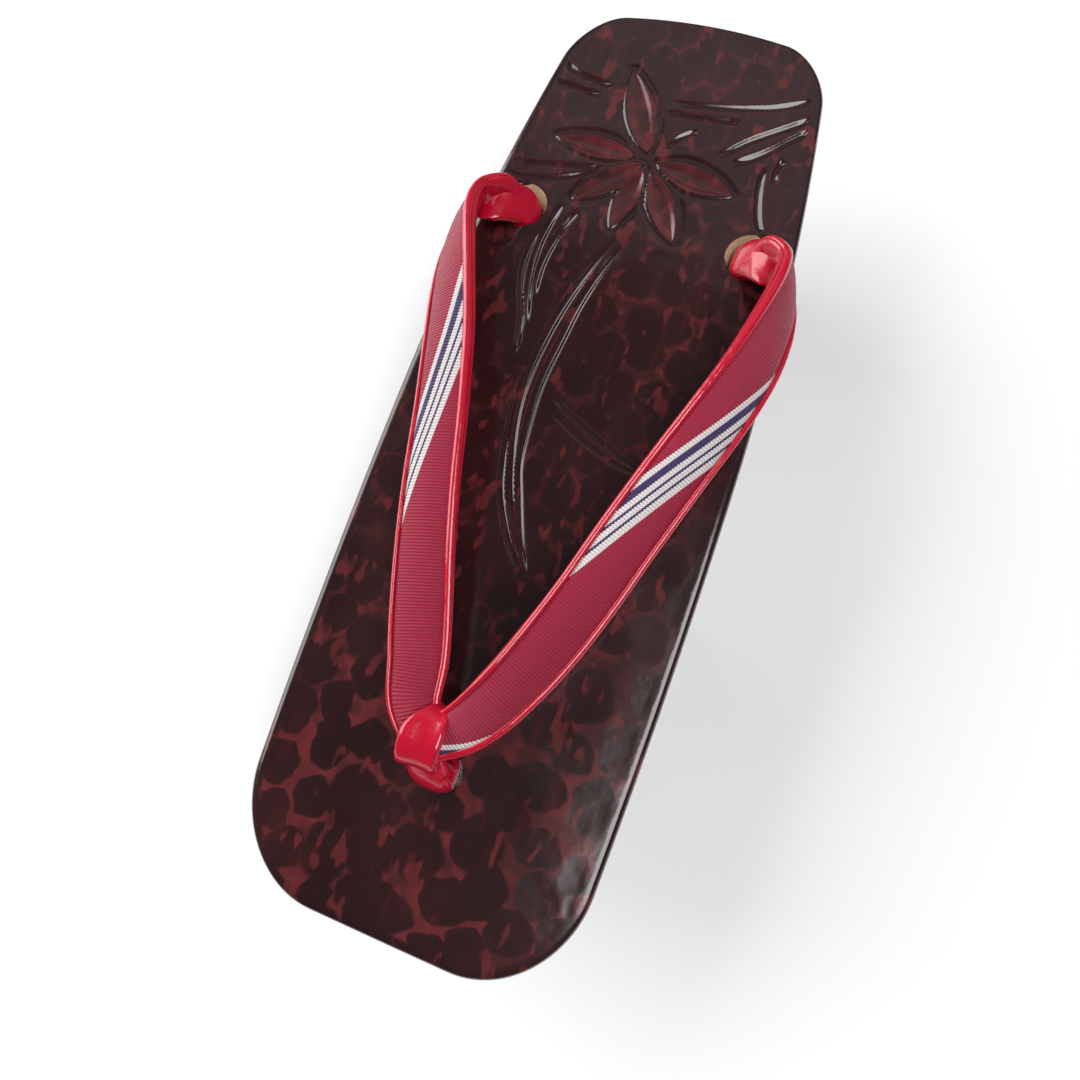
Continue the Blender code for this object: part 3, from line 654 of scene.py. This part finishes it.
brushed = node(tree, "Group", {"Vector": place, **BRUSHED}, node_tree=ripple)
coat = mixed(tree, rubbed, brown, red)
feed(shader, base_color=coat, roughness=scaled(tree, noise(tree, place, 90.0), 0.12, 0.10),
     normal=brushed.outputs["Normal"])
sole.data.materials.append(lacquer)

bare_wood, tree, shader = finish("bare_wood", specular_ior_level=0.3)
place = node(tree, "TexCoord").outputs["Object"]
pores = noise(tree, stretched(tree, place, PORE_SCALE), 1.0, 4.0)
fibres = node(tree, "Bump", {"Height": pores, "Distance": PORE_DEPTH, "Strength": 0.7})
feed(shader, base_color=mixed(tree, pores, WOOD_DARK, WOOD_PALE), roughness=scaled(tree, pores, 0.2, 0.65),
     normal=fibres.outputs["Normal"])
sole.data.materials.append(bare_wood)
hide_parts("dai")
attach(sole, "root")


# The strap's padded body, or hanao: two arms of cord and wadding in a sleeve of red vinyl, with
# a piping of the same vinyl along both edges. Each arm turns on edge at the rear, hooks inwards
# and narrows into its hole.
STRAP_WIDTH = 0.0135
STRAP_THICKNESS = 0.0052
STRAP_RISE = 0.008
TIP_RADIUS = 0.0033
TIP_ASIDE = 0.45
TIP_SHARES = (0.22, 0.62, 1.0)
SEAT_GAP = 0.0003
ARM_STEPS = 10
STRAP_RUN = (
    # along, left, right, rise, left tilt, right tilt, wide, thick
    (0.037, 0.050, -0.120, 0.70, 0, 0, 0.58, 1.04),
    (0.060, 0.160, 0.030, 0.74, -2, 6, 0.70, 1.04),
    (0.097, 0.262, 0.190, 0.80, -5, 20, 0.84, 1.00),
    (0.156, 0.330, 0.345, 0.85, -4, 33, 0.95, 1.00),
    (0.230, 0.440, 0.495, 0.90, 2, 32, 1.00, 1.00),
    (0.319, 0.560, 0.640, 0.95, 9, 26, 1.00, 1.00),
    (0.422, 0.685, 0.780, 1.00, 15, 21, 1.00, 1.00),
    (0.541, 0.815, 0.950, 1.00, 21, 19, 1.00, 1.00),
    (0.659, 0.965, 1.125, 0.95, 27, 25, 1.00, 1.00),
    (0.748, 1.100, 1.235, 0.80, 35, 34, 0.98, 0.98),
    (0.822, 1.210, 1.290, 0.58, 45, 45, 0.95, 0.94),
    (0.881, 1.280, 1.310, 0.36, 56, 56, 0.90, 0.88),
    (0.926, 1.295, 1.300, 0.20, 66, 66, 0.84, 0.80),
    (0.962, 1.262, 1.262, 0.08, 74, 74, 0.76, 0.72),
)
STRAP_HOOK = (
    # out, back, up, roundness
    (0.300, -0.060, 0.340, 0.20),
    (0.130, -0.030, 0.130, 0.75),
)
SLEEVE_SECTION = (
    # across, level
    (0.00, 0.84),
    (0.45, 0.73),
    (0.78, 0.44),
    (0.92, 0.15),
    (0.96, -0.10),
    (0.88, -0.48),
    (0.55, -0.88),
    (0.00, -1.00),
)
PIPING_LEVEL = 0.42
PIPING_END = 0.93
PIPING_SIDES = 14
PIPINGS = (
    # side, edge, radius at the front, radius at the rear
    (-1, -1, 0.00100, 0.00120),
    (-1, 1, 0.00050, 0.00050),
    (1, -1, 0.00055, 0.00120),
    (1, 1, 0.00105, 0.00055),
)
FLAP_SECTIONS = (
    # in millimetres: outwards from the hole, towards the heel, over the sole, half width, half thickness
    (8.3, -8.4, 4.4, 2.4, 0.6),
    (6.4, -6.8, 5.2, 4.2, 0.8),
    (4.2, -5.2, 5.2, 4.4, 1.1),
    (2.2, -3.2, 3.9, 4.6, 1.6),
    (0.5, -1.4, 1.2, 4.6, 2.6),
    (-0.9, -0.9, -1.8, 4.5, 3.3),
    (-1.4, -2.4, -4.6, 4.0, 3.2),
)
FLAP_SIDES = 28
FLAP_SQUARENESS = 4


def strap_rows(side):
    """The arm's centre line and section, from its front end to the end of its tip in the hole."""
    rows = []
    reach = REAR_HOLE.y - FRONT_HOLE.y
    for along, left, right, rise_share, left_tilt, right_tilt, wide, thick in STRAP_RUN:
        out, tilt = (left, left_tilt) if side < 0 else (right, right_tilt)
        half_width = wide * STRAP_WIDTH / 2
        half_thick = thick * STRAP_THICKNESS / 2
        lean = math.radians(tilt)
        low = half_width * math.sin(abs(lean)) + half_thick * math.cos(lean)
        rows.append((side * out * REAR_HOLE.x, FRONT_HOLE.y + along * reach,
                     TOP + SEAT_GAP + low + rise_share * STRAP_RISE, tilt, half_width, half_thick))
    mouth, exit_point = rear_hole(side)
    last_width, last_thick, last_tilt = rows[-1][4], rows[-1][5], rows[-1][3]
    slack = REAR_HOLE_RADIUS - TIP_RADIUS
    aside = Vector((side * slack * TIP_ASIDE, -slack * TIP_ASIDE, 0))
    for out, back, up, roundness in STRAP_HOOK:
        spot = mouth + aside + Vector((side * out, back, up)) * STRAP_WIDTH
        rows.append((*spot, last_tilt, last_width + (TIP_RADIUS - last_width) * roundness,
                     last_thick + (TIP_RADIUS - last_thick) * roundness))
    for share in TIP_SHARES:
        spot = mouth.lerp(exit_point, share) + aside
        rows.append((*spot, last_tilt, TIP_RADIUS, TIP_RADIUS))
    return rows


def arm_frames(side):
    """Along one arm: middle, axis across, axis up, half width, half thickness, roundness and run."""
    stations = through(strap_rows(side), ARM_STEPS)
    middles = [Vector(station[:3]) for station in stations]
    heading = (middles[1] - middles[0]).normalized()
    sideways = -side * heading.x * math.copysign(1, heading.y)
    outward = Vector((side * abs(heading.y), sideways, 0)).normalized()
    frames = []
    run = 0.0
    for index, (middle, station) in enumerate(zip(middles, stations)):
        ahead = middles[min(index + 1, len(middles) - 1)] - middles[max(index - 1, 0)]
        ahead.normalize()
        outward = (heading.rotation_difference(ahead) @ outward).normalized()
        heading = ahead
        roll = Quaternion(heading, side * math.radians(station[3]))
        across = roll @ outward
        up = across.cross(heading) * side
        if index:
            run += (middle - middles[index - 1]).length
        roundness = max(0.0, min(1.0, (index - len(stations) + 1 + 5 * ARM_STEPS) / (3 * ARM_STEPS)))
        frames.append((middle, across, up, station[4], station[5], roundness, run))
    return frames


def skin(bm, rings, caps=True, closed=True):
    """Faces between neighbouring rings of places, with an end face on each end ring."""
    loops = [[bm.verts.new(spot) for spot in ring] for ring in rings]
    count = len(loops[0])
    for one, two in zip(loops, loops[1:]):
        for index in range(count if closed else count - 1):
            following = (index + 1) % count
            bm.faces.new((one[index], one[following], two[following], two[index]))
    if caps:
        bm.faces.new(loops[0])
        bm.faces.new(loops[-1])
    return loops


def round_ring(centre, one, two, radius, sides):
    """Places on a circle about the centre, in the plane of the two axes."""
    turns = (2 * math.pi * step / sides for step in range(sides))
    return [centre + one * radius * math.cos(turn) + two * radius * math.sin(turn) for turn in turns]


def square_ring(centre, one, two, squareness, sides):
    """Places on a rounded square about the centre, whose half sizes are the two axes' lengths."""
    ring = []
    for step in range(sides):
        turn = 2 * math.pi * step / sides
        c, s = math.cos(turn), math.sin(turn)
        size = (abs(c) ** squareness + abs(s) ** squareness) ** (-1 / squareness)
        ring.append(centre + one * c * size + two * s * size)
    return ring


sleeve_bmesh = bmesh.new()
half_section = through(SLEEVE_SECTION, 3)
section = half_section + [(-across, level) for across, level in reversed(half_section[1:-1])]
for side in (-1, 1):
    frames = arm_frames(side)
    rings = []
    for middle, across, up, half_width, half_thick, roundness, _ in frames:
        ring = []
        for index, (a, level) in enumerate(section):
            angle = math.pi / 2 - 2 * math.pi * index / len(section)
            u = a + (math.cos(angle) - a) * roundness
            v = level + (math.sin(angle) - level) * roundness
            ring.append(middle + across * u * half_width + up * v * half_thick)
        rings.append(ring)
    skin(sleeve_bmesh, rings)
    for arm, edge, front_radius, rear_radius in PIPINGS:
        if arm != side:
            continue
        rings = []
        for middle, across, up, half_width, half_thick, roundness, run in frames:
            if roundness > PIPING_END:
                break
            share = min(1.0, run / frames[-1][-1] * 1.15)
            radius = (front_radius + (rear_radius - front_radius) * share) * (1 - 0.75 * roundness)
            centre = middle + across * edge * (half_width - radius)
            centre += up * half_thick * PIPING_LEVEL * (1 - roundness)
            rings.append(round_ring(centre, across, up, radius, PIPING_SIDES))
        skin(sleeve_bmesh, rings)
    flap = [[value / MM for value in row] for row in through(FLAP_SECTIONS, 6)]
    spots = [rear_hole(side)[0] + Vector((side * out, back, up)) for out, back, up, _, _ in flap]
    rings = []
    for index, (spot, (_, _, _, half_width, half_thick)) in enumerate(zip(spots, flap)):
        heading = (spots[min(index + 1, len(spots) - 1)] - spots[max(index - 1, 0)]).normalized()
        wide = (Vector((0, 1, 0)) - heading * heading.y).normalized()
        thick = heading.cross(wide)
        rings.append(square_ring(spot, wide * half_width, thick * half_thick, FLAP_SQUARENESS, FLAP_SIDES))
    skin(sleeve_bmesh, rings)
sleeve = put("strap_sleeve", sleeve_bmesh)
sleeve.data.shade_smooth()
sleeve.data.set_sharp_from_angle(angle=math.radians(60))

VINYL_DEEP = (0.38, 0.0016, 0.017, 1.0)
VINYL_BRIGHT = (0.54, 0.0030, 0.028, 1.0)
WRINKLED = {"Scale": 330.0, "Depth": 0.0002}

vinyl, tree, shader = finish("red_vinyl", coat_weight=0.5, coat_roughness=0.06)
place = node(tree, "TexCoord").outputs["Object"]
wrinkled = node(tree, "Group", {"Vector": place, **WRINKLED}, node_tree=ripple)
feed(shader, base_color=mixed(tree, noise(tree, place, 120.0), VINYL_DEEP, VINYL_BRIGHT),
     roughness=scaled(tree, noise(tree, place, 240.0), 0.16, 0.16), normal=wrinkled.outputs["Normal"])
sleeve.data.materials.append(vinyl)
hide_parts("hanao")
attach(sleeve, "root")


# The strap's face: a crimson ribbon with fine ribs across it, sewn over the padding between the
# pipings. A slanting group of white and navy stripes is woven in and crosses each arm.
RIBBON_EDGE = 0.84
RIBBON_LIFT = 0.00015
RIBBON_TUCK = 0.04
RIBBON_CROWN = 0.66
RIBBON_WRAP = 1.25
RIBBON_COLUMNS = 14
RIBBON_ENDS_AT = 0.55
RIB_PITCH = 0.00068
STRIPE_SLOPE = 0.305
STRIPE_START = {-1: (26.0,), 1: (23.0, -64.0)}
SECOND_GROUP_FROM = -48.0
STRIPE_BANDS = (
    # where the band ends across the group in millimetres, and its thread
    (0.0, "crimson"),
    (1.15, "white"),
    (2.60, "navy"),
    (3.75, "white"),
    (4.25, "navy"),
    (5.35, "white"),
    (5.85, "navy"),
    (7.20, "white"),
)
STRIPE_LEAD = 1.0
STRIPE_SPAN = 10.0
THREADS = {
    "crimson": (0.34, 0.009, 0.040, 1.0),
    "white": (0.78, 0.76, 0.72, 1.0),
    "navy": (0.020, 0.030, 0.12, 1.0),
}
RIB_VALLEY_PAINTED_SHADE = (0.44, 0.36, 0.42, 1.0)
FUZZ_PINK = (0.55, 0.10, 0.16, 1.0)
RIB_DEPTH = 0.00020
RIB_WOBBLE = 0.14

ribbon_bmesh = bmesh.new()
run_layer = ribbon_bmesh.verts.layers.float.new("run_mm")
stripe_layer = ribbon_bmesh.loops.layers.float.new("stripe_mm")
for side in (-1, 1):
    rows = []
    for middle, across, up, half_width, half_thick, roundness, run in arm_frames(side):
        if roundness > RIBBON_ENDS_AT:
            break
        inner = RIBBON_EDGE - RIBBON_TUCK
        row = []
        for column in range(RIBBON_COLUMNS + 1):
            a = inner * (2 * column / RIBBON_COLUMNS - 1)
            level = 0.99 - RIBBON_CROWN * a * a
            if column in (0, RIBBON_COLUMNS):
                a = math.copysign(RIBBON_EDGE, a)
                level = 0.30
            turn = a * RIBBON_WRAP
            u = a + (math.sin(turn) - a) * roundness
            v = level + (math.cos(turn) - level) * roundness
            spot = middle + across * u * half_width + up * (v * half_thick + RIBBON_LIFT)
            vert = ribbon_bmesh.verts.new(spot)
            vert[run_layer] = run * MM
            rightwards = a * half_width * side * MM
            row.append((vert, RIBBON_EDGE * half_width * MM - rightwards, middle.y * MM))
        rows.append(row)
    for one, two in zip(rows, rows[1:]):
        for index in range(RIBBON_COLUMNS):
            cell = (one[index], one[index + 1], two[index + 1], two[index])
            face = ribbon_bmesh.faces.new([vert for vert, _, _ in cell])
            starts = STRIPE_START[side]
            start = starts[-1] if one[0][2] < SECOND_GROUP_FROM else starts[0]
            for loop, (_, from_edge, y) in zip(face.loops, cell):
                loop[stripe_layer] = STRIPE_SLOPE * (start - y) - from_edge
ribbon = put("strap_ribbon", ribbon_bmesh)
ribbon.data.shade_smooth()

cloth, tree, shader = finish("ribbed_ribbon", sheen_weight=0.2, sheen_roughness=0.4, specular_ior_level=0.3)
place = node(tree, "TexCoord").outputs["Object"]
run = node(tree, "Attribute", attribute_name="run_mm").outputs["Fac"]
stripe = node(tree, "Attribute", attribute_name="stripe_mm").outputs["Fac"]
wave = maths(tree, "SINE", maths(tree, "MULTIPLY", run, 2 * math.pi / (RIB_PITCH * MM)))
rib = scaled(tree, wave, 0.5, 0.5)
stripe = maths(tree, "ADD", stripe, maths(tree, "MULTIPLY", rib, RIB_WOBBLE))
group = maths(tree, "DIVIDE", maths(tree, "ADD", stripe, STRIPE_LEAD), STRIPE_SPAN)
threads = node(tree, "ValToRGB", {"Fac": group})
threads.color_ramp.interpolation = "CONSTANT"
elements = threads.color_ramp.elements
elements[0].position = 0.0
elements[0].color = THREADS["crimson"]
elements.remove(elements[1])
for (start, _), (_, thread) in zip(STRIPE_BANDS, STRIPE_BANDS[1:]):
    elements.new((start + STRIPE_LEAD) / STRIPE_SPAN).color = THREADS[thread]
elements.new((STRIPE_BANDS[-1][0] + STRIPE_LEAD) / STRIPE_SPAN).color = THREADS["crimson"]
# The valleys between the ribs are darkened with painted shade, over the ribs' own bump
valley = maths(tree, "MULTIPLY", maths(tree, "SUBTRACT", 1.0, rib), 0.62)
shade = node(tree, "Mix", {0: valley, 6: threads.outputs["Color"], 7: RIB_VALLEY_PAINTED_SHADE}, data_type="RGBA",
             blend_type="MULTIPLY").outputs[2]
fuzz = noise(tree, place, 900.0, 3.0)
ribs = node(tree, "Bump", {"Height": rib, "Distance": RIB_DEPTH, "Strength": 0.9})
feed(shader, base_color=mixed(tree, maths(tree, "MULTIPLY", fuzz, 0.10), shade, FUZZ_PINK),
     roughness=scaled(tree, fuzz, 0.2, 0.5), normal=ribs.outputs["Normal"])
ribbon.data.materials.append(cloth)
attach(ribbon, "root")


# The toe loop, or maetsubo: a folded band of the same vinyl, wrapped over the place where the
# arms meet. It is narrow between the arms and wide over the nose, and a pinched leg with a rolled
# edge goes down into the front hole.
LOOP_LENGTH = 0.0140
LOOP_HEIGHT = 0.0112
LOOP_WIDTH = 0.0092
LOOP_NECK = 0.0034
LOOP_MIDDLE = Vector((FRONT_HOLE.x - 0.0034, FRONT_HOLE.y + LOOP_LENGTH / 2, strap_rows(-1)[1][2]))
LOOP_NECK_ASIDE = 0.0016
LOOP_INSIDE = 0.0030
LOOP_STEPS = 72
LOOP_ACROSS = (-1.0, -0.97, -0.88, -0.76, -0.6, -0.35, 0.0, 0.35, 0.6, 0.76, 0.88, 0.97, 1.0)
LOOP_BACK = (0.9, 0.0, -0.9)
HEM_RISE = 0.00028
HEM_PLACE = 0.86
HEM_SPREAD = 0.09
EDGE_FALL = 0.0009
FOLD_DENT = 0.00035
LEG_SECTIONS = (
    # in millimetres: x and y from the hole, height over the sole, half width, half depth
    (-2.6, 2.6, 8.6, 3.4, 2.2),
    (-1.9, 0.9, 6.6, 4.2, 2.8),
    (-1.0, -0.4, 4.4, 4.5, 3.3),
    (-0.3, -0.7, 2.4, 4.3, 3.7),
    (0.0, -0.3, 0.7, 4.1, 3.9),
    (0.0, 0.1, -1.2, 3.6, 3.7),
    (0.0, 0.3, -6.0, 3.4, 3.4),
    (0.0, 0.3, -12.0, 3.3, 3.3),
)
LEG_SQUARENESS = 3
LEG_SIDES = 24
ROLL_PATH = ((2.2, -0.2, 6.8), (3.1, -1.3, 5.2), (3.5, -2.0, 3.4), (3.3, -2.2, 1.8), (2.6, -1.8, 0.5))
ROLL_RADIUS = 0.00085
ROLL_SIDES = 12

loop_bmesh = bmesh.new()
rings = []
for step in range(LOOP_STEPS + 1):
    turn = 2 * math.pi * step / LOOP_STEPS
    back, up = math.cos(turn), math.sin(turn)
    neck = max(0.0, back) ** 2
    half = (LOOP_WIDTH + (LOOP_NECK - LOOP_WIDTH) * neck) / 2
    outward = Vector((0, back / (LOOP_LENGTH / 2), up / (LOOP_HEIGHT / 2))).normalized()
    spot = LOOP_MIDDLE + Vector((LOOP_NECK_ASIDE * neck, back * LOOP_LENGTH / 2, up * LOOP_HEIGHT / 2))
    ring = []
    for s in LOOP_ACROSS:
        hem = HEM_RISE * math.exp(-((abs(s) - HEM_PLACE) / HEM_SPREAD) ** 2)
        crown = -EDGE_FALL * s ** 8 - FOLD_DENT * (1 - s * s) * math.sin(2.5 * s + 1.2)
        ring.append(spot + Vector((s * half, 0, 0)) + outward * (crown + hem))
    for s in LOOP_BACK:
        ring.append(spot + Vector((s * half, 0, 0)) - outward * LOOP_INSIDE)
    rings.append(ring)
skin(loop_bmesh, rings, caps=False)
bmesh.ops.remove_doubles(loop_bmesh, verts=loop_bmesh.verts, dist=1e-6)
leg = []
for x, y, z, wide, deep in through(LEG_SECTIONS, 5):
    spot = FRONT_HOLE + Vector((x, y, z)) / MM
    half_sizes = (Vector((wide, 0, 0)) / MM, Vector((0, deep, 0)) / MM)
    leg.append(square_ring(spot, *half_sizes, LEG_SQUARENESS, LEG_SIDES))
skin(loop_bmesh, leg)
roll = through([tuple(FRONT_HOLE + Vector(point) / MM) for point in ROLL_PATH], 5)
rings = []
for index, spot in enumerate(roll):
    ahead = (Vector(roll[min(index + 1, len(roll) - 1)]) - Vector(roll[max(index - 1, 0)])).normalized()
    side_axis = ahead.cross(Vector((0, 1, 0))).normalized()
    front_axis = ahead.cross(side_axis)
    size = ROLL_RADIUS * (0.55 + 0.45 * math.sin(math.pi * (0.12 + 0.8 * index / (len(roll) - 1))))
    rings.append(round_ring(Vector(spot), side_axis, front_axis, size, ROLL_SIDES))
skin(loop_bmesh, rings)
toe_loop = put("toe_loop", loop_bmesh)
toe_loop.data.shade_smooth()
toe_loop.data.set_sharp_from_angle(angle=math.radians(60))
toe_loop.data.materials.append(vinyl)
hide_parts("maetsubo")
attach(toe_loop, "root")


# The cords under the sole: twisted cotton, knotted below the front hole and tied to each other
# between the rear holes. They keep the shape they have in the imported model.
TWIST_SCALE = 520.0
TWIST_TURN = (0.6, 0.5, 0.7)
TWIST_DEPTH = 0.0004
COTTON_DARK_FIBRE_AND_GROOVE_SHADE = (0.30, 0.23, 0.15, 1.0)
COTTON_PALE = (0.68, 0.60, 0.46, 1.0)

cotton, tree, shader = finish("twisted_cotton", sheen_weight=0.3)
place = node(tree, "TexCoord").outputs["Object"]
slanted = node(tree, "Mapping", {"Vector": place, "Rotation": TWIST_TURN}).outputs[0]
twist = node(tree, "TexWave", {"Vector": slanted, "Scale": TWIST_SCALE, "Distortion": 0.6}).outputs["Fac"]
fibre = noise(tree, place, 1600.0, 3.0)
# The twist's grooves are darkened with painted shade, and the fibre noise varies the tone at random
strand_height_and_painted_shade = maths(tree, "ADD", maths(tree, "MULTIPLY", twist, 0.75), maths(tree, "MULTIPLY", fibre, 0.25))
laid = node(tree, "Bump", {"Height": strand_height_and_painted_shade, "Distance": TWIST_DEPTH, "Strength": 0.9})
feed(shader, base_color=mixed(tree, strand_height_and_painted_shade, COTTON_DARK_FIBRE_AND_GROOVE_SHADE, COTTON_PALE),
     roughness=scaled(tree, fibre, 0.15, 0.8), normal=laid.outputs["Normal"])
for name in ("front_knot", "rear_knot", "rear_cord_left", "rear_cord_right"):
    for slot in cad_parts[name].material_slots:
        slot.material = cotton
